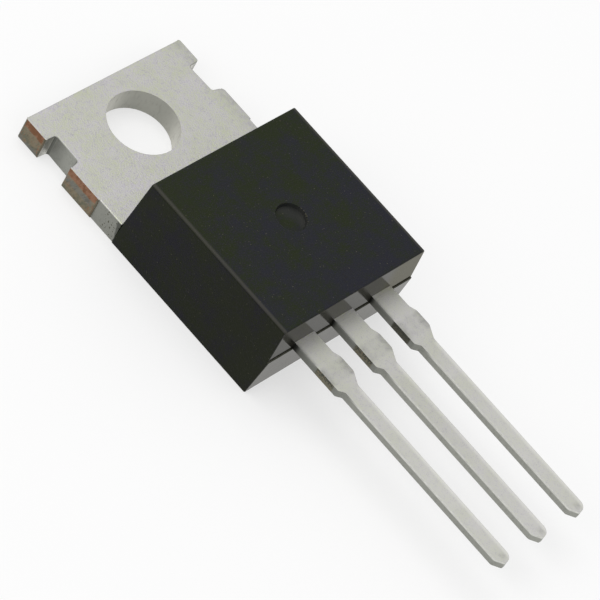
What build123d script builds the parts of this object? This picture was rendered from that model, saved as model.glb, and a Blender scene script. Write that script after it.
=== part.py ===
from build123d import *
import os
from math import radians, tan

# A thyristor in a three-lead power package: a copper heatsink tab and three leads moulded into
# a black epoxy block, with the silicon die, its solder and its bond wires sealed inside.
# Millimetres. The part lies on its back. The origin is the axis of the mounting hole, on the
# back face of the tab: +Z comes out of the front face, +Y points to the tab's free end, and the
# leads run towards -Y. Pin 1 is on the -X side.

# ---------------------------------------------------------------- driving dimensions

# Heatsink tab and die pad, the thick part of the strip
tab_thickness = 1.30
tab_width = 9.78  # over the plated edges
tab_free_length = 2.82  # hole axis to the tab's free end
tab_corner = 0.12  # rounding of the two free corners
hole_diameter = 3.60
die_roll = 0.06  # rounding that blanking leaves round the tab's front edge
tie_bar_stub = 0.04  # the sheared tie-bar faces stand proud of the plated edges
tie_bar_band = 0.10  # shearing left this much of the ears square at the front edge
tie_bar_end = 2.27  # hole axis to the lower end of the sheared faces
notch_depth = 0.62  # from the sheared face, at the notch's upper end
notch_lower_depth = 0.57
notch_start = 1.43  # hole axis to the notch's upper mouth
notch_length = 1.71  # along the mouth
notch_upper_flare = 0.04  # the two ends of the notch lean out by this much
notch_lower_flare = 0.13
notch_radius = 0.15
upper_mouth_radius = 0.13  # on the +X side, the notch's mouth is worn round
lower_mouth_radius = 0.30
pad_width = 8.60  # inside the epoxy
pad_end_cover = 2.20  # epoxy behind the pad's end
pad_rebate = 0.28  # the pad's back is cut in this far, so that the epoxy grips under its edge
pad_rebate_height = 0.55

# Moulded body
body_start = 3.766  # hole axis to the body, over the tab's front face
body_length = 9.114  # from there to the lead end, at the back face
body_width = 9.86  # at the back face
body_height = 4.38
side_draft = 3.8  # degrees, on both sides and on the tab end over the tab
lead_end_draft = 2.5  # degrees, above the parting ledge
lead_end_undercut = 4.0  # degrees, below the parting ledge
parting_ledge = 0.06  # the back half of the mould is this much longer than the front half
long_edge = 0.11  # rounding of the front face's two long edges
end_edge = 0.06  # rounding of the edges round both ends
ejector_x = 0.08  # the ejector pin is a little off the middle
ejector_diameter = 1.54
ejector_depth = 0.18
ejector_draft = 20.0  # degrees

# Leads, the thin part of the strip
lead_pitch = 2.54
lead_thickness = 0.42
lead_plane = 2.34  # back face of the tab to the leads' back faces
lead_length = 13.22  # from the body's parting ledge to the tips
lead_width = 0.82  # narrow part
tip_slant_width = 0.31  # each tip is cut off at a slant on its -X side
tip_slant_length = 0.40
tip_slant_edge = 0.08  # rounding where the slant meets the tip
tip_radius = 0.40  # the tip is round on its +X side
root_left = 0.65  # wide part, pin axis to its flush-cut flank
root_right = 0.60  # wide part, pin axis to its other flank
dam_stub = 0.17  # what is left of the dam bar on that other flank
dam_start = 1.55  # parting ledge to the dam bar
dam_length = 0.85
dam_flank = 0.38  # run-out from the root to the dam stub
shoulder_start = 2.80  # parting ledge to the flush flank's shoulder
shoulder_length = 0.25
shoulder_radius = 0.10
lead_bend_radius = 0.30  # of the other curves in a lead's outline

# Inner ends of the leads
lead_cover = 0.75  # epoxy between the paddles and the lead end
paddle_length = 1.25
cathode_paddle_width = 2.80
gate_paddle_width = 1.70
paddle_gap = 0.55  # sideways, from the middle lead to a paddle
paddle_corner = 0.20
ramp_angle = 64.0  # the middle lead climbs from the pad at this angle
ramp_lead_in = 0.40  # flat stretch between the pad's end and the ramp
ramp_lead_out = 0.40  # flat stretch after the ramp
strip_bend_radius = 0.45  # to the middle of the strip

# Silicon die
die_setback = 3.914  # the body's tab end to the middle of the die
die_size = 3.60
die_thickness = 0.30
mesa_step = 0.22  # width of the glass-filled step round the mesa
mesa_height = 0.08
solder_thickness = 0.05
solder_margin = 0.15  # the solder shows round the die by this much
solder_corner = 0.30

# Bond wires
power_wire = 0.38
signal_wire = 0.18
power_bond_x = -0.30  # middle of the two power bonds on the die
power_bond_spacing = 1.15
gate_bond_x = 1.15
bond_setback = 0.90  # middle of the die to the bonds
loop_height = 0.55  # top of a loop's arc over the line between its ends
foot_length = 2.8  # these five are in wire diameters
foot_width = 1.5
foot_height = 0.7
foot_corner = 0.4  # flats across the corners
wire_lift = 0.5  # the wire's end over its bond

# ---------------------------------------------------------------- places that follow

body_tab_end = -body_start
body_lead_end = -(body_start + body_length)
ledge_y = body_lead_end - lead_plane * tan(radians(lead_end_undercut))
lead_front = lead_plane + lead_thickness
tip_y = ledge_y - lead_length
pad_end = body_lead_end + pad_end_cover
paddle_y = body_lead_end + lead_cover + paddle_length / 2
cathode_paddle_x = -(root_left + paddle_gap + cathode_paddle_width / 2)
gate_paddle_x = root_right + paddle_gap + gate_paddle_width / 2
die_y = body_tab_end - die_setback
die_bottom = tab_thickness + solder_thickness
die_top = die_bottom + die_thickness
mesa_size = die_size - 2 * mesa_step

os.makedirs("parts", exist_ok=True)

# ---------------------------------------------------------------- the leads' common blade

# All three leads were blanked by the same punch. The dam bar that joined them was cut flush
# with one lead and left a stub on its neighbour.


def blade_outline(pin_x, inner_y):
    """One lead seen from the front, from inner_y inside the body to its tip."""
    left_x = pin_x - lead_width / 2
    right_x = pin_x + lead_width / 2
    flush_x = pin_x - root_left
    root_x = pin_x + root_right
    dam_y = ledge_y - dam_start
    shoulder_y = ledge_y - shoulder_start
    narrow_y = shoulder_y - shoulder_length
    slant_x = left_x + tip_slant_width
    slant_y = tip_y + tip_slant_length
    shoulder = shoulder_radius
    bend = lead_bend_radius
    with BuildSketch(Plane.XY.offset(lead_plane)) as outline:
        with BuildLine():
            flanks = FilletPolyline(
                (flush_x, inner_y),
                (flush_x, shoulder_y),
                (left_x, narrow_y),
                (left_x, slant_y),
                (slant_x, tip_y),
                (right_x, tip_y),
                (right_x, narrow_y),
                (root_x + dam_stub, dam_y - dam_length),
                (root_x + dam_stub, dam_y),
                (root_x, dam_y + dam_flank),
                (root_x, inner_y),
                radius=[shoulder, shoulder, bend, tip_slant_edge, tip_radius, bend, bend, bend, bend],
            )
            Line(flanks @ 0, flanks @ 1)
        make_face()
    return outline.sketch


# ---------------------------------------------------------------- anode tab and middle lead

# One piece of dual-gauge copper strip. The thick part is the heatsink tab and the die pad. The
# thin part climbs from the pad's end to the lead plane and runs out as the middle lead.
sheared_x = tab_width / 2 + tie_bar_stub
notch_end = notch_start - notch_length
strip_middle = tab_thickness - lead_thickness / 2
lead_middle = lead_plane + lead_thickness / 2
ramp_foot_y = pad_end - ramp_lead_in
ramp_head_y = ramp_foot_y - (lead_middle - strip_middle) / tan(radians(ramp_angle))
ramp_end_y = ramp_head_y - ramp_lead_out

with BuildPart() as anode_tab:
    with BuildSketch() as tab_outline:
        with BuildLine():
            FilletPolyline(
                (0, tab_free_length),
                (sheared_x, tab_free_length),
                (sheared_x, notch_start),
                (sheared_x - notch_depth, notch_start - notch_upper_flare),
                (sheared_x - notch_lower_depth, notch_end + notch_lower_flare),
                (sheared_x, notch_end),
                (sheared_x, -tie_bar_end),
                (tab_width / 2, -tie_bar_end),
                (tab_width / 2, body_tab_end),
                (pad_width / 2, body_tab_end),
                (pad_width / 2, pad_end),
                (0, pad_end),
                radius=[tab_corner, 0, notch_radius, notch_radius, 0, 0, 0, 0, 0, 0],
            )
            mirror(about=Plane.YZ)
        make_face()
        for mouth, radius in ((1, lower_mouth_radius), (2, upper_mouth_radius)):
            fillet(vertices().group_by(Axis.X)[-1].sort_by(Axis.Y)[mouth], radius=radius)
    extrude(amount=tab_thickness)
    front_rim = faces().sort_by(Axis.Z)[-1].edges()
    fillet(front_rim.filter_by(lambda e: e.center().Y > body_tab_end), radius=die_roll)

    # The tie bars were sheared off after blanking, which squared the ears' front edges again
    with BuildSketch():
        add(tab_outline.sketch)
        Rectangle(2 * (sheared_x - tie_bar_band), 3 * tab_width, mode=Mode.SUBTRACT)
        with Locations((0, -tie_bar_end)):
            Rectangle(3 * tab_width, 3 * tab_width, align=(Align.CENTER, Align.MAX), mode=Mode.SUBTRACT)
    extrude(amount=tab_thickness)
    Hole(hole_diameter / 2)

    # Rebate round the back of the pad, inside the epoxy
    with BuildSketch():
        with Locations((0, body_tab_end - pad_rebate)):
            Rectangle(pad_width, body_length, align=(Align.CENTER, Align.MAX))
            Rectangle(
                pad_width - 2 * pad_rebate,
                body_tab_end - pad_end - 2 * pad_rebate,
                align=(Align.CENTER, Align.MAX),
                mode=Mode.SUBTRACT,
            )
    extrude(amount=pad_rebate_height, mode=Mode.SUBTRACT)

    # Ramp of thin strip, as wide as the lead's root
    with BuildSketch(Plane.YZ.offset(-root_left)):
        with BuildLine():
            FilletPolyline(
                (pad_end + lead_thickness, strip_middle),
                (ramp_foot_y, strip_middle),
                (ramp_head_y, lead_middle),
                (ramp_end_y, lead_middle),
                radius=strip_bend_radius,
            )
        trace(line_width=lead_thickness)
    extrude(amount=root_left + root_right)
    extrude(blade_outline(0, ramp_end_y), amount=lead_thickness)

anode_tab.part.label = "anode_tab"

# ---------------------------------------------------------------- outer leads

# Each ends inside the epoxy in a paddle beside the middle lead, where its bond wires land.


def outer_lead(pin_x, paddle_x, paddle_width):
    """A lead whose blade is on pin_x and whose paddle is centred on paddle_x."""
    with BuildPart() as lead:
        with BuildSketch(Plane.XY.offset(lead_plane)):
            add(blade_outline(pin_x, paddle_y))
            with Locations((paddle_x, paddle_y)):
                RectangleRounded(paddle_width, paddle_length, paddle_corner)
        extrude(amount=lead_thickness)
    return lead


cathode_lead = outer_lead(-lead_pitch, cathode_paddle_x, cathode_paddle_width)
cathode_lead.part.label = "cathode_lead"

gate_lead = outer_lead(lead_pitch, gate_paddle_x, gate_paddle_width)
gate_lead.part.label = "gate_lead"

# ---------------------------------------------------------------- die, solder and glass

# The die's back is the anode, soldered flat to the pad. Its front is a raised mesa, and glass
# fills the step round the mesa to seal the junctions where they come to the surface.
with BuildPart() as die_solder:
    with BuildSketch(Plane.XY.offset(tab_thickness)):
        with Locations((0, die_y)):
            solder_size = die_size + 2 * solder_margin
            RectangleRounded(solder_size, solder_size, solder_corner)
    extrude(amount=solder_thickness)

die_solder.part.label = "die_solder"

with BuildPart() as thyristor_die:
    with BuildSketch(Plane.XY.offset(die_bottom)):
        with Locations((0, die_y)):
            Rectangle(die_size, die_size)
    extrude(amount=die_thickness - mesa_height)
    with BuildSketch(Plane.XY.offset(die_top - mesa_height)):
        with Locations((0, die_y)):
            Rectangle(mesa_size, mesa_size)
    extrude(amount=mesa_height)

thyristor_die.part.label = "thyristor_die"

with BuildPart() as passivation_glass:
    with BuildSketch(Plane.XY.offset(die_top - mesa_height)):
        with Locations((0, die_y)):
            Rectangle(die_size, die_size)
            Rectangle(mesa_size, mesa_size, mode=Mode.SUBTRACT)
    extrude(amount=mesa_height)

passivation_glass.part.label = "passivation_glass"

# ---------------------------------------------------------------- bond wires

# Ultrasonic wedge bonds: a squashed foot on the die, one arched loop of wire, and a squashed
# foot on the paddle. The two power wires share the current of the cathode.


def bond_wire(die_x, landing_x, diameter):
    """A wire from its foot on the die, centred on die_x, to its foot on a paddle."""
    start = Vector(die_x, die_y - bond_setback, die_top)
    landing = Vector(landing_x, paddle_y, lead_front)
    climb = lead_front - die_top
    along = Vector(landing.X - start.X, landing.Y - start.Y).normalized()
    span = Vector(landing.X - start.X, landing.Y - start.Y).length
    heel = foot_length * diameter / 4
    lift = wire_lift * diameter
    with BuildPart() as wire:
        with BuildLine(Plane(start, x_dir=along, z_dir=along.cross(Vector(0, 0, 1)))) as loop:
            SagittaArc((heel, lift), (span - heel, climb + lift), loop_height)
        with BuildSketch(Plane(loop.line @ 0, z_dir=loop.line % 0)):
            Circle(diameter / 2)
        sweep()
        for foot in (start, landing):
            with BuildSketch(Plane(foot, x_dir=along)):
                squashed = Rectangle(foot_length * diameter, foot_width * diameter)
                chamfer(squashed.vertices(), foot_corner * diameter)
            extrude(amount=foot_height * diameter)
    return wire


half_spacing = power_bond_spacing / 2

cathode_wire_1 = bond_wire(power_bond_x - half_spacing, cathode_paddle_x - half_spacing, power_wire)
cathode_wire_1.part.label = "cathode_wire_1"

cathode_wire_2 = bond_wire(power_bond_x + half_spacing, cathode_paddle_x + half_spacing, power_wire)
cathode_wire_2.part.label = "cathode_wire_2"

gate_wire = bond_wire(gate_bond_x, gate_paddle_x, signal_wire)
gate_wire.part.label = "gate_wire"

# ---------------------------------------------------------------- moulded body

# The epoxy block was formed by two mould halves that part in the plane of the leads. Each
# half's block is its side profile crossed with its end profile, so every face has its own
# draft. The epoxy was cast round the metal, so its cavity is exactly the shape of what it holds.
draft_run = tan(radians(side_draft))
parting_tab_end = body_tab_end - (lead_plane - tab_thickness) * draft_run
front_tab_end = body_tab_end - (body_height - tab_thickness) * draft_run
parting_lead_end = ledge_y + parting_ledge
front_lead_end = parting_lead_end + (body_height - lead_plane) * tan(radians(lead_end_draft))


def mould_block(*side_profile):
    """The block that one mould half forms, from its profile seen from the side."""
    with BuildPart() as block:
        with BuildSketch(Plane.YZ):
            Polygon(*side_profile, align=None)
        extrude(amount=body_width, both=True)
        with BuildSketch(Plane.XZ):
            Trapezoid(body_width, body_height, 90 - side_draft, align=(Align.CENTER, Align.MIN))
        extrude(amount=body_start + 2 * body_length, mode=Mode.INTERSECT)
    return block.part


def is_upright(edge):
    """True for the edges that run up the body's corners."""
    return abs(edge.tangent_at(0.5).Z) > 0.9 and edge.length > end_edge * 4


with BuildPart() as back_half:
    add(
        mould_block(
            (body_tab_end, 0),
            (body_tab_end, tab_thickness),
            (parting_tab_end, lead_plane),
            (ledge_y, lead_plane),
            (body_lead_end, 0),
        )
    )
    fillet(edges().filter_by(is_upright), radius=end_edge)

# Rounding an upright edge of the front half carries on over the front face's short edges
with BuildPart() as front_half:
    add(
        mould_block(
            (parting_tab_end, lead_plane),
            (front_tab_end, body_height),
            (front_lead_end, body_height),
            (parting_lead_end, lead_plane),
        )
    )
    fillet(faces().sort_by(Axis.Z)[-1].edges().filter_by(Axis.Y), radius=long_edge)
    fillet(edges().filter_by(is_upright), radius=end_edge)

inserts = [
    anode_tab,
    cathode_lead,
    gate_lead,
    die_solder,
    thyristor_die,
    passivation_glass,
    cathode_wire_1,
    cathode_wire_2,
    gate_wire,
]

with BuildPart() as moulded_body:
    add(back_half.part)
    add(front_half.part)

    # Round recess of the ejector pin, halfway along the front face
    with BuildSketch(Plane.XY.offset(body_height)):
        with Locations((ejector_x, (front_tab_end + front_lead_end) / 2)):
            Circle(ejector_diameter / 2)
    extrude(amount=-ejector_depth, taper=ejector_draft, mode=Mode.SUBTRACT)

    for insert in inserts:
        add(insert.part, mode=Mode.SUBTRACT)

moulded_body.part.label = "moulded_body"

# ---------------------------------------------------------------- files

for piece in [moulded_body] + inserts:
    export_step(piece.part, f"parts/{piece.part.label}.step")
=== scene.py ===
import bpy
from mathutils import Matrix, Vector


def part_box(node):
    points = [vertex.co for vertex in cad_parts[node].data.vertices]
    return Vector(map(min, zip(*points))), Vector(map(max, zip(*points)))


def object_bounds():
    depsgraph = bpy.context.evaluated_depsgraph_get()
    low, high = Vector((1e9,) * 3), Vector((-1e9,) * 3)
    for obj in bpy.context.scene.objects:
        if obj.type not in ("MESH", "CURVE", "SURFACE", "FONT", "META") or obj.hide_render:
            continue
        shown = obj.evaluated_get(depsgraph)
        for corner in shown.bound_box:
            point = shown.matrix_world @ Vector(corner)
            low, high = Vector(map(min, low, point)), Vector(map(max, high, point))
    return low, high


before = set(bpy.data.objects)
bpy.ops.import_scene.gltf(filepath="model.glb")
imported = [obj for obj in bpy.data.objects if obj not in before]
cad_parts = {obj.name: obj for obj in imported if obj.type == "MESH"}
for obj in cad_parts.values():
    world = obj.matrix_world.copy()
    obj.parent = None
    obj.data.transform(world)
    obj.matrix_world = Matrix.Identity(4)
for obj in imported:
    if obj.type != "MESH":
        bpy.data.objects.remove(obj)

# Finishes, floor, light and camera for a thyristor in a three-lead power package. It lies on its
# back: +Z comes out of its front, +Y points to the tab's free end, and -X is the cathode's side.

solid_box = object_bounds()

# ------------------------------------------------------------ heatsink tab and middle lead

# One stamping of dual-gauge copper strip, plated with matte tin after moulding. The thick end
# is the heatsink tab and the pad under the die. The thin end climbs to the lead plane and
# leaves as the middle lead. Tie bars and dam bars were sheared off last, down to bare copper.


class Shade:
    """One output of a finish's nodes. Arithmetic on it adds Math nodes."""

    def __init__(self, finish, socket):
        self.finish = finish
        self.socket = socket

    def __add__(self, other):
        return self.finish.maths("ADD", self, other)

    def __sub__(self, other):
        return self.finish.maths("SUBTRACT", self, other)

    def __rsub__(self, other):
        return self.finish.maths("SUBTRACT", other, self)

    def __mul__(self, other):
        return self.finish.maths("MULTIPLY", self, other)

    def __neg__(self):
        return 0 - self

    def __abs__(self):
        return self.finish.maths("ABSOLUTE", self)

    __radd__ = __add__
    __rmul__ = __mul__


class Finish:
    """The nodes of a material or a world: its surface shader and what varies it."""

    def __init__(self, owner, constants):
        self.owner = owner
        owner.use_nodes = True
        self.tree = owner.node_tree
        self.shader = self.tree.nodes.get("Principled BSDF") or self.tree.nodes["Background"]
        self.surface(constants)

    def node(self, kind, settings, sockets, output=0):
        """Adds a node, makes its settings, then sets or links its sockets."""
        made = self.tree.nodes.new("ShaderNode" + kind)
        for setting, value in settings.items():
            setattr(made, setting, value)
        for socket, value in sockets.items():
            self.join(made.inputs[socket], value)
        return Shade(self, made.outputs[output])

    def join(self, socket, value):
        """Links a shade to the socket, or gives the socket a plain value."""
        if isinstance(value, Shade):
            self.tree.links.new(value.socket, socket)
        else:
            socket.default_value = value

    def surface(self, sockets):
        """Sets or links sockets of the surface shader, by their names."""
        for socket, value in sockets.items():
            self.join(self.shader.inputs[socket], value)

    def maths(self, operation, *values):
        """A Math node on shades and numbers."""
        return self.node("Math", {"operation": operation}, dict(enumerate(values)))

    def larger(self, first, second):
        return self.maths("MAXIMUM", first, second)

    def place(self):
        """Where a point lies on the part, in millimetres."""
        where = self.node("TexCoord", {}, {}, output="Object")
        return self.node("VectorMath", {"operation": "SCALE"}, {0: where, "Scale": 1000})

    def axes(self, vector):
        """The three parts of a vector."""
        return [self.node("SeparateXYZ", {}, {0: vector}, output=axis) for axis in "XYZ"]

    def facing(self):
        """The three parts of the direction that the surface faces."""
        return self.axes(self.node("NewGeometry", {}, {}, output="Normal"))

    def grain(self, place, size, detail=2.0):
        """Cloudy noise from about -1 to 1, whose blotches are that many millimetres across."""
        noise = self.node("TexNoise", {}, {"Vector": place, "Scale": 1 / size, "Detail": detail})
        return (noise - 0.5) * 2

    def streaks(self, place, size, lean=0.0):
        """Noise like grain's, drawn out fourfold along lines that lean that many radians back."""
        sockets = {"Vector": place, "Rotation": (lean, 0, 0), "Scale": (1, 1, 4)}
        return self.grain(self.node("Mapping", {"vector_type": "TEXTURE"}, sockets), size)

    def rise(self, value, low, high):
        """0 below low, 1 above high, and smooth between."""
        settings = {"interpolation_type": "SMOOTHSTEP"}
        return self.node("MapRange", settings, {"Value": value, "From Min": low, "From Max": high})

    def band(self, value, low, high, edge):
        """1 between low and high, and 0 outside, with soft edges that wide."""
        return self.rise(value, low, low + edge) * (1 - self.rise(value, high - edge, high))

    def blend(self, share, first, second):
        """The first colour where share is 0, and the second where it is 1."""
        sockets = {"Factor": share, 6: first, 7: second}
        return self.node("Mix", {"data_type": "RGBA"}, sockets, output=2)

    def bump(self, height, depth, edge):
        """The surface normal, roughened by height times depth and rounded at edges, in millimetres."""
        rounded = self.node("Bevel", {"samples": 8}, {"Radius": edge / 1000})
        sockets = {"Height": height, "Distance": depth / 1000, "Normal": rounded}
        return self.node("Bump", {}, sockets)


def colour(red, green, blue):
    """A colour as a screen shows it, 0 to 255, in the linear form that a shader takes."""
    parts = [value / 255 for value in (red, green, blue)]
    linear = [v / 12.92 if v <= 0.04045 else ((v + 0.055) / 1.055) ** 2.4 for v in parts]
    return (*linear, 1.0)


def dress(node_name, finish):
    """Gives a solid its finish."""
    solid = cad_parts[node_name]
    solid.data.materials.clear()
    solid.data.materials.append(finish.owner)


tab_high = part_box("anode_tab")[1] * 1000  # places on the part are in millimetres
lead_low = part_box("cathode_lead")[0] * 1000
lead_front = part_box("cathode_lead")[1].z * 1000
body_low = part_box("moulded_body")[0] * 1000
body_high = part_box("moulded_body")[1] * 1000
tab_front = 1.30
sheared_x = tab_high.x  # the tie-bar shears stand proud of the plated edges
proud = 0.04  # by this much
notch_start = 1.43
notch_end = -0.28
ears_end = -2.27
burnish_height = 0.87  # over the back face: copper smeared by the shear above it, torn below
tear_lean = 0.46  # radians that the tears in the copper lean from upright
hole_radius = 1.80
pin_pitch = 2.54
root_flank = 0.65  # pin axis to the flank that the dam-bar shear cut flush
stub_flank = 0.77  # pin axis to what the shear left of the dam bar on the other flank
dam_from = 1.45  # body's lead end to the dam bar
dam_to = 2.52
slim_from = 3.05  # body's lead end to where a lead has narrowed

tin = Finish(bpy.data.materials.new("tinned_copper"), {})
place = tin.place()
across, along, up = tin.axes(place)
side = abs(across)
from_pin = tin.maths("WRAP", across, pin_pitch / 2, -pin_pitch / 2)
from_body = body_low.y - along
from_tip = along - lead_low.y
face_x, face_y, face_z = tin.facing()
blanked = 1 - tin.rise(abs(face_z), 0.2, 0.7)
on_lead = tin.rise(from_body, 0, 0.1)
beside_body = on_lead * (1 - tin.rise(from_body, dam_from - 0.25, dam_from))
cathode = 1 - tin.rise(across, -2, -1)
gate = tin.rise(across, 1, 1.4)

clouds = tin.grain(place, 0.8, detail=3)
mottle = tin.grain(place, 0.25, detail=3)
fine = tin.grain(place, 0.06, detail=1)

# Matte tin, yellower or bluer from place to place, with a dark grain. It is painted darker, as
# shade, where the tab's edge rolls over on the gate side and where it rounds into a notch.
tint = tin.rise(0.7 * clouds + 0.5 * mottle + 1.4 * fine, -0.7, 0.7)
plating = tin.blend(tint, colour(175, 178, 158), colour(184, 180, 188))
plating = tin.blend(0.4 * on_lead, plating, colour(180, 179, 175))
plating = tin.blend(0.5 * tin.rise(fine + 0.6 * mottle, -0.1, 0.7), plating, colour(136, 137, 132))
near_front = tin.rise(up, tab_front - 0.3, tab_front - 0.05)
tab_roll_shade = tin.rise(across, sheared_x - 0.9, sheared_x - 0.1) * near_front
plating = tin.blend(0.4 * tab_roll_shade * (0.7 + mottle), plating, colour(138, 139, 134))
in_notch = tin.band(along, notch_end - 0.1, notch_start + 0.1, 0.15) * tin.rise(side, 3, 4)
rounded = 1 - tin.rise(abs(face_z), 0.9, 0.99)
plating = tin.blend(in_notch * rounded, plating, colour(147, 148, 142))

# Beside the body, resin bleed dulled the leads' plating, and painted shade of the body darkens it
# more, the most where one side rolls over. Painted shade darkens the dam-bar stretch towards the
# leads' edges, and a spot on each tip. The leads are lighter towards their tips and on the outer
# leads, and a painted highlight runs along the gate-side edge of each slim stretch.
bleed_and_shade = tin.rise(from_body, -0.15, 0.6) * (1 - tin.rise(from_body + 0.3 * mottle, -0.6, 1.7))
dam_zone = tin.band(from_body, dam_from, dam_to + 0.1, 0.25)
dam_shade = dam_zone * (0.12 + 0.3 * tin.rise(abs(from_pin), 0.3, 0.7)) * (1 + mottle)
tip_spot = tin.band(from_tip, 0.05, 0.6, 0.25) * tin.band(from_pin, -0.15, 0.3, 0.15)
tip_shade = 0.3 * tip_spot * (1 + 2 * mottle)
dulling_and_shade = tin.larger(tin.larger(0.38 * on_lead * bleed_and_shade, dam_shade), tip_shade)
plating = tin.blend(dulling_and_shade, plating, colour(112, 113, 106))
lead_roll_shade = beside_body * tin.rise(-from_pin, root_flank - 0.14, root_flank)
plating = tin.blend(0.45 * lead_roll_shade, plating, colour(104, 105, 100))
side_highlight = tin.rise(from_pin, 0.16, 0.36) * tin.rise(from_body, slim_from - 0.05, slim_from + 0.35)
bright_outer = tin.rise(side, 1, 1.5) * tin.band(from_body, 3, 11, 2)
lightening_and_highlight = 0.15 * tin.rise(from_body, 5, 12) + 0.3 * side_highlight + 0.09 * bright_outer
plating = tin.blend(lightening_and_highlight, plating, colour(225, 225, 220))

# Blanked edges are duller than the faces. In each notch, light and shade are painted: the floor
# darker towards the end wall, the end wall bright, the most deep in the notch, and the rounded
# corner into it dark.
flank = tin.blend(on_lead, colour(141, 142, 135), colour(158, 159, 152))
notch_floor_shading = tin.blend(tin.rise(along, 0.2, 1.0), colour(155, 156, 149), colour(132, 133, 127))
flank = tin.blend(in_notch, flank, notch_floor_shading)
outward = tin.rise(side, sheared_x - 0.73, sheared_x - 0.1)
end_wall_shading = tin.blend(outward, colour(250, 249, 242), colour(186, 185, 178))
end_wall_shading = tin.blend(tin.rise(-face_y, 0.9, 0.98), colour(98, 99, 93), end_wall_shading)
flank = tin.blend(in_notch * tin.rise(-face_y, 0.1, 0.4), flank, end_wall_shading)

# The leads' edges are painted dark beside the body, as its shade, near black at the root and
# darker on the cathode lead, with dull mottled patches. A painted highlight runs along the
# rolled-over top of each edge beside the body, and a brighter one along the front beyond.
flank = tin.blend(0.55 * on_lead * (1 - tin.rise(from_body, 2.2, 4.0)), flank, colour(92, 93, 88))
flank = tin.blend(0.35 * tin.rise(fine + mottle, -0.1, 0.7), flank, colour(112, 113, 106))
rolled_edge_highlight = beside_body * tin.rise(up, lead_front - 0.17, lead_front)
flank = tin.blend(0.5 * rolled_edge_highlight, flank, colour(168, 169, 164))
root_shade = tin.band(from_body + 0.1 * mottle - 0.12 * cathode, -1, 0.25, 0.3)
flank = tin.blend(0.92 * root_shade, flank, colour(20, 21, 17))
flank = tin.blend(0.14 * on_lead * cathode, flank, colour(92, 93, 88))
flank_highlight = tin.rise(up, lead_front - 0.13, lead_front - 0.06)
flank_highlight = flank_highlight * tin.rise(from_body, slim_from + 0.15, slim_from + 0.95)
flank = tin.blend(flank_highlight * (0.6 + 0.4 * mottle), flank, colour(238, 238, 232))

# Between the ears and the body, the tab's edges are pitted, and painted dark beside the body as
# its shadow, with resin bled out over them, the furthest at the front.
below_ears = 1 - tin.rise(along, ears_end - 0.73, ears_end - 0.43)
below_ears = below_ears * tin.rise(side, sheared_x - 0.1, sheared_x - 0.05)
pits = tin.rise(tin.grain(place, 0.1, detail=0), 0.34, 0.44)
flank = tin.blend(0.95 * pits * below_ears, flank, colour(68, 66, 48))
out_of_body = along + 0.08 * mottle - 0.25 * up
body_shadow_and_flash = below_ears * (1 - tin.rise(out_of_body, body_high.y - 0.11, body_high.y - 0.01))
flank = tin.blend(0.75 * body_shadow_and_flash, flank, colour(58, 60, 55))

# The punch drew the hole's wall smooth, with darker streaks. Light and shade are painted on it:
# bright on most of it, and darker where it faces the cathode side and the leads.
from_hole_squared = across * across + along * along
in_hole = 1 - tin.rise(from_hole_squared, (hole_radius + 0.03) ** 2, (hole_radius + 0.06) ** 2)
lit_side = tin.rise(0.87 * face_x + 0.5 * face_y, -0.95, -0.35)
lit_wall = tin.blend(lit_side, colour(161, 161, 153), colour(206, 205, 196))
lit_wall = tin.blend(0.4 * tin.rise(tin.streaks(place, 0.12), 0.0, 0.6), lit_wall, colour(130, 131, 124))
plating = tin.blend(blanked, plating, tin.blend(in_hole, flank, lit_wall))


def inside(high, low):
    """How far a point lies inside the nearer end of a stretch of the tab's edge."""
    return (high - low) / 2 - abs(along - (high + low) / 2)


# The shears smeared the copper at the front of each ear's face, but not at its ends, and tore it
# off below. At the lower ear's notch end the smear runs right out.
inset = tin.larger(inside(tab_high.y, notch_start), inside(notch_end, ears_end))
inset = inset + 0.3 * tin.band(along, notch_end - 0.3, notch_end + 0.2, 0.15)
upper_ear = tin.rise(along, 0, 1)
tears = tin.streaks(place, 0.1, lean=tear_lean)
brown = tin.rise(mottle + 0.5 * tears + 0.15 - 0.4 * upper_ear, -0.3, 0.3)
copper = tin.blend(brown, colour(122, 81, 50), colour(150, 109, 82))
torn = tin.blend(tin.rise(clouds + mottle, -0.3, 0.3), colour(106, 106, 88), colour(134, 122, 99))
lower_skid = tin.band(up + 0.1 * mottle, 0.42, burnish_height, 0.12) * tin.rise(inset, 0.1, 0.4)
upper_skid = 1 - tin.rise(up + 0.3 * mottle, 0.08, 0.3)
skid = tin.larger(lower_skid * (1 - upper_ear), upper_skid * upper_ear)
torn = tin.blend(0.6 * skid, torn, colour(118, 122, 120))
torn = tin.blend(0.45 * tin.rise(tears, 0.0, 0.45), torn, colour(140, 134, 118))
torn = tin.blend(0.5 * tin.rise(-tears, 0.05, 0.5), torn, colour(74, 72, 60))
grit = tin.rise(tin.grain(place, 0.08, detail=2) + 0.4 * (0.3 - inset), 0.2, 0.36)
torn = tin.blend(0.65 * grit, torn, colour(150, 92, 54))
smeared = tin.rise(up - 0.14 * mottle, burnish_height - 0.03, burnish_height + 0.03)
smeared = smeared * tin.rise(inset + 0.1 * mottle, 0.09, 0.14)
tie_shear = tin.blend(smeared, torn, copper)
tie_shear = tin.blend(0.6 * (1 - tin.rise(inset, 0.04, 0.13)), tie_shear, colour(76, 74, 58))
tie_mask = blanked * tin.rise(side, sheared_x - 0.6 * proud, sheared_x - 0.45 * proud)

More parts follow.
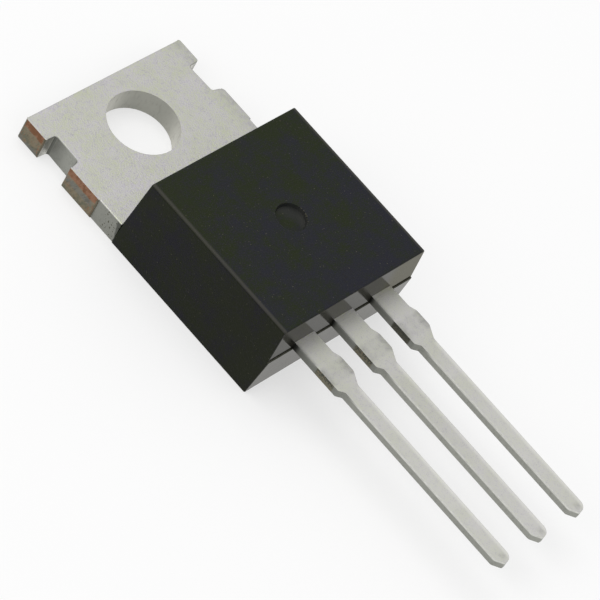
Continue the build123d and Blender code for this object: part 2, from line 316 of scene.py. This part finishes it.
# The dam-bar shear left a dark cut on each lead, the darkest on the gate lead. Each cut is painted
# darker towards the lead's front, as shade.
stub_cut = tin.rise(from_pin, stub_flank - 0.03, stub_flank - 0.02)
flush_cut = tin.rise(-from_pin, root_flank - 0.02, root_flank - 0.01)
dam_mask = blanked * (stub_cut + flush_cut) * tin.band(from_body, dam_from - 0.05, dam_to + 0.05, 0.08)
speck = tin.grain(place, 0.07, detail=1)
dark = tin.rise(speck + 0.4 * tin.rise(up, lead_front - 0.3, lead_front - 0.1), 0.0, 0.6)
dam_shear = tin.blend(dark, colour(118, 115, 97), colour(69, 71, 60))
dam_shear = tin.blend(0.6 * tin.rise(-speck, 0.25, 0.45), dam_shear, colour(142, 112, 76))
dam_shear = tin.blend(0.7 * gate, dam_shear, colour(56, 58, 49))

bare_copper = tin.blend(tie_mask, dam_shear, tie_shear)
shorn = tin.larger(tie_mask, dam_mask)
tin.surface(
    {
        "Base Color": tin.blend(shorn, plating, bare_copper),
        "Metallic": 0.95 - 0.45 * shorn,
        "Roughness": 0.42 + 0.05 * clouds + 0.1 * shorn,
        "Normal": tin.bump(fine + 2 * shorn * tears, depth=0.005, edge=0.02),
    }
)
dress("anode_tab", tin)

# ------------------------------------------------------------ outer leads

# Cathode and gate leads, blanked from the thin gauge of the same strip and plated in the same
# bath. Once the dam bars were sheared, only the epoxy held them.
for lead in ("cathode_lead", "gate_lead"):
    dress(lead, tin)

# ------------------------------------------------------------ solder, die and glass

# Soft solder wets the pad and holds the silicon die, whose front has an aluminium film for the
# bonds. Glass fused into the step round the die seals its junctions. All are inside the epoxy.


def even(name, base_colour, metallic, roughness):
    """A finish that is the same all over."""
    constants = {"Base Color": base_colour, "Metallic": metallic, "Roughness": roughness}
    return Finish(bpy.data.materials.new(name), constants)


dress("die_solder", even("die_solder", colour(176, 178, 180), metallic=0.9, roughness=0.45))
dress("thyristor_die", even("silicon", colour(96, 104, 118), metallic=0.8, roughness=0.2))
glass = even("passivation_glass", colour(148, 172, 160), metallic=0.0, roughness=0.15)
dress("passivation_glass", glass)

# ------------------------------------------------------------ bond wires

# Drawn aluminium wire, pressed on with ultrasound at both ends: two thick ones from the die to
# the cathode lead, and a thin one to the gate lead.
aluminium = even("aluminium_wire", colour(226, 227, 228), metallic=1.0, roughness=0.3)
for wire in ("cathode_wire_1", "cathode_wire_2", "gate_wire"):
    dress(wire, aluminium)

# ------------------------------------------------------------ moulded body

# Black epoxy filled with fine silica, transfer moulded round the finished leadframe. The mould
# left its faces semi-matt, with a fine grain, and polished at the end where the leads come out.
body_front = body_high.z
highlight_x = 4.55  # the body's middle to the painted highlight inside each long edge of its front
ledge_z = lead_low.z  # the mould's halves met here: the back one is longer, which leaves a ledge
recess = (0.08, -8.43, body_front)  # where the ejector pin pushed
recess_radius = 0.77

epoxy = Finish(
    bpy.data.materials.new("moulding_epoxy"),
    {
        "Specular IOR Level": 0.16,
        "Specular Tint": (1.0, 0.97, 0.80, 1),
        "Coat IOR": 1.0,
        "Coat Roughness": 0.12,
        "Coat Tint": (0.985, 0.98, 0.945, 1),
    },
)
place = epoxy.place()
across, along, up = epoxy.axes(place)
face_x, face_y, face_z = epoxy.facing()
patches = epoxy.grain(place, 1.3, detail=1)
clouds = epoxy.grain(place, 0.45, detail=4)
fog = epoxy.grain(place, 0.18, detail=3)
fine = epoxy.grain(place, 0.06, detail=1)

# The resin is olive or blue-black from place to place, paler in specks and darker in clouds. Its
# tone drifts a little from the tab to the leads.
mixed = 0.9 * patches + 0.8 * clouds + 0.5 * fog + 1.2 * fine
drift = 0.07 * (-along - 8)
tint = epoxy.rise(mixed + drift, -0.5, 0.6)
resin = epoxy.blend(tint, colour(17, 28, 0), colour(19, 21, 37))
resin = epoxy.blend(0.8 * epoxy.rise(fine + 0.4 * fog, -0.1, 0.7), resin, colour(38, 39, 35))
resin = epoxy.blend(0.5 * epoxy.rise(fog, 0.0, 0.6), resin, colour(8, 8, 7))

# The long sides are painted darker, as shade, and the more so towards the leads, with pale specks.
side_tint = epoxy.rise(mixed - drift, -0.35, 0.75)
shaded_side = epoxy.blend(side_tint, colour(11, 18, 0), colour(8, 5, 27))
pale_specks = epoxy.rise(fine + 0.8 * fog + 0.3 * clouds, 0.1, 0.8)
shaded_side = epoxy.blend(pale_specks, shaded_side, colour(28, 32, 22))
side_shade = epoxy.rise(abs(face_x), 0.7, 0.9) * (0.7 + 0.3 * epoxy.rise(-along, 7, 12))
resin = epoxy.blend(side_shade, resin, shaded_side)

# The lead end is polished. Below the ledge it is painted lighter and browner, as the light it
# reflects there, and the ledge itself is painted light.
polished = epoxy.rise(-face_y, 0.7, 0.9)
below_ledge = 1 - epoxy.rise(up, ledge_z - 0.04, ledge_z + 0.02)
end_resin_and_light = epoxy.blend(below_ledge, colour(38, 37, 32), colour(54, 52, 44))
resin = epoxy.blend(polished, resin, end_resin_and_light)
ledge_light = epoxy.band(up, ledge_z - 0.02, ledge_z + 0.02, 0.01) * epoxy.rise(face_z, 0.5, 0.9)
resin = epoxy.blend(ledge_light, resin, colour(78, 79, 69))

# The ejector pin's recess is painted lighter on the gate side, as light, and brighter still on that
# side towards the leads, as a highlight, with pale glints painted on the rim beside it. Grains of
# silica show all over.
from_recess = epoxy.node("VectorMath", {"operation": "DISTANCE"}, {0: place, 1: recess}, output="Value")
to_gate = across - recess[0]
to_tab = along - recess[1]
in_recess = 1 - epoxy.rise(from_recess, recess_radius + 0.08, recess_radius + 0.18)
in_recess = in_recess * (1 - epoxy.rise(up, body_front - 0.05, body_front - 0.005))
recess_light = epoxy.rise(0.87 * to_gate + 0.5 * to_tab, -0.2, 0.4)
recess_highlight = epoxy.rise(0.87 * to_gate - 0.5 * to_tab, 0.3, 0.7)
resin = epoxy.blend(in_recess * recess_light, resin, colour(35, 37, 37))
resin = epoxy.blend(in_recess * recess_highlight, resin, colour(44, 45, 44))
on_rim = epoxy.band(from_recess, recess_radius - 0.06, recess_radius + 0.06, 0.05)
filler_and_glints = epoxy.rise(epoxy.grain(place, 0.08, detail=1) + 0.3 * on_rim * recess_highlight, 0.42, 0.58)
resin = epoxy.blend(0.45 * filler_and_glints, resin, colour(100, 95, 80))

# A paler line is painted inside each long edge of the front, as its highlight. A film of the
# resin's wax on the lead end warms what it reflects, the most above the ledge on the gate side.
edge_highlight = epoxy.band(abs(across), highlight_x - 0.14, highlight_x + 0.14, 0.12)
edge_highlight = edge_highlight * epoxy.rise(up, body_front - 0.08, body_front - 0.04)
resin = epoxy.blend(0.75 * edge_highlight, resin, colour(62, 61, 57))
waxed = polished * (0.15 + 0.85 * epoxy.rise(across, 2.2, 3.2) * (1 - below_ledge))
epoxy.surface(
    {
        "Base Color": resin,
        "Roughness": 0.42 + 0.06 * clouds - 0.3 * polished,
        "Coat Weight": waxed,
        "Normal": epoxy.bump(fine * (1 - polished), depth=0.004, edge=0.03),
    }
)
dress("moulded_body", epoxy)

# ------------------------------------------------------------ floor, light and camera

# A pale seamless floor, with plain light from all round, a soft key lamp nearly overhead and a
# weak one on the cathode side.


def looked_at(finish):
    """1 where the eye sees the surface, straight, in a reflection or through glass, and else 0."""
    kinds = ("Is Camera Ray", "Is Glossy Ray", "Is Transmission Ray")
    straight, mirrored, through = [finish.node("LightPath", {}, {}, output=kind) for kind in kinds]
    return finish.larger(straight, finish.larger(mirrored, through))


floor_size = 1.2  # from here on, places and sizes are in metres
floor_drop = 0.00002
mesh = bpy.data.meshes.new("floor")
half = floor_size / 2
corners = [(-half, -half, 0), (half, -half, 0), (half, half, 0), (-half, half, 0)]
mesh.from_pydata(corners, [], [(0, 1, 2, 3)])
floor = bpy.data.objects.new("floor", mesh)
floor.location.z = -floor_drop
bpy.context.scene.collection.objects.link(floor)

paper_white = 0.42
paper_lift = 0.58  # to the eye, the floor is this much brighter, so that its shadows are soft
paper = Finish(bpy.data.materials.new("paper"), {"Roughness": 1.0, "Specular IOR Level": 0.0})
paper.surface({"Base Color": (paper_white, paper_white, paper_white, 1)})
glow = paper.node("Emission", {}, {"Strength": paper_lift * looked_at(paper)})
paper_shade = Shade(paper, paper.shader.outputs["BSDF"])
lit = paper.node("AddShader", {}, {0: paper_shade, 1: glow})
paper.join(paper.tree.nodes["Material Output"].inputs["Surface"], lit)
floor.data.materials.append(paper.owner)

room_light = 0.70  # on the object; the room looks white
room = Finish(bpy.data.worlds.new("room"), {"Color": (1, 1, 1, 1)})
room.surface({"Strength": room_light + (1 - room_light) * looked_at(room)})
bpy.context.scene.world = room.owner


def soft_box(name, towards, distance, size, power):
    """A round diffused lamp, aimed at the middle of the part."""
    lamp = bpy.data.lights.new(name, "AREA")
    lamp.shape = "DISK"
    lamp.size = size
    lamp.energy = power
    box = bpy.data.objects.new(name, lamp)
    away = Vector(towards).normalized()
    box.location = (solid_box[0] + solid_box[1]) / 2 + away * distance
    box.rotation_mode = "QUATERNION"
    box.rotation_quaternion = away.to_track_quat("Z", "Y")
    bpy.context.scene.collection.objects.link(box)


soft_box("key", towards=(0.05, 0.35, 0.94), distance=0.30, size=0.24, power=0.22)
soft_box("left_fill", towards=(-0.71, 0.235, 0.60), distance=0.30, size=0.16, power=0.08)

camera_right = Vector((0.66881, -0.64810, 0.36421))
camera_down = Vector((-0.39380, -0.72438, -0.56586))
camera_place = Vector((-0.115039, -0.053780, 0.136112))
lens = bpy.data.cameras.new("camera")
lens.sensor_width = 36
lens.lens = 246.885
lens.clip_start = 0.01
camera = bpy.data.objects.new("camera", lens)
turn = Matrix((camera_right, -camera_down, camera_right.cross(-camera_down))).transposed()
camera.matrix_world = Matrix.Translation(camera_place) @ turn.to_4x4()
bpy.context.scene.collection.objects.link(camera)
bpy.context.scene.camera = camera
bpy.context.scene.view_settings.view_transform = "Standard"
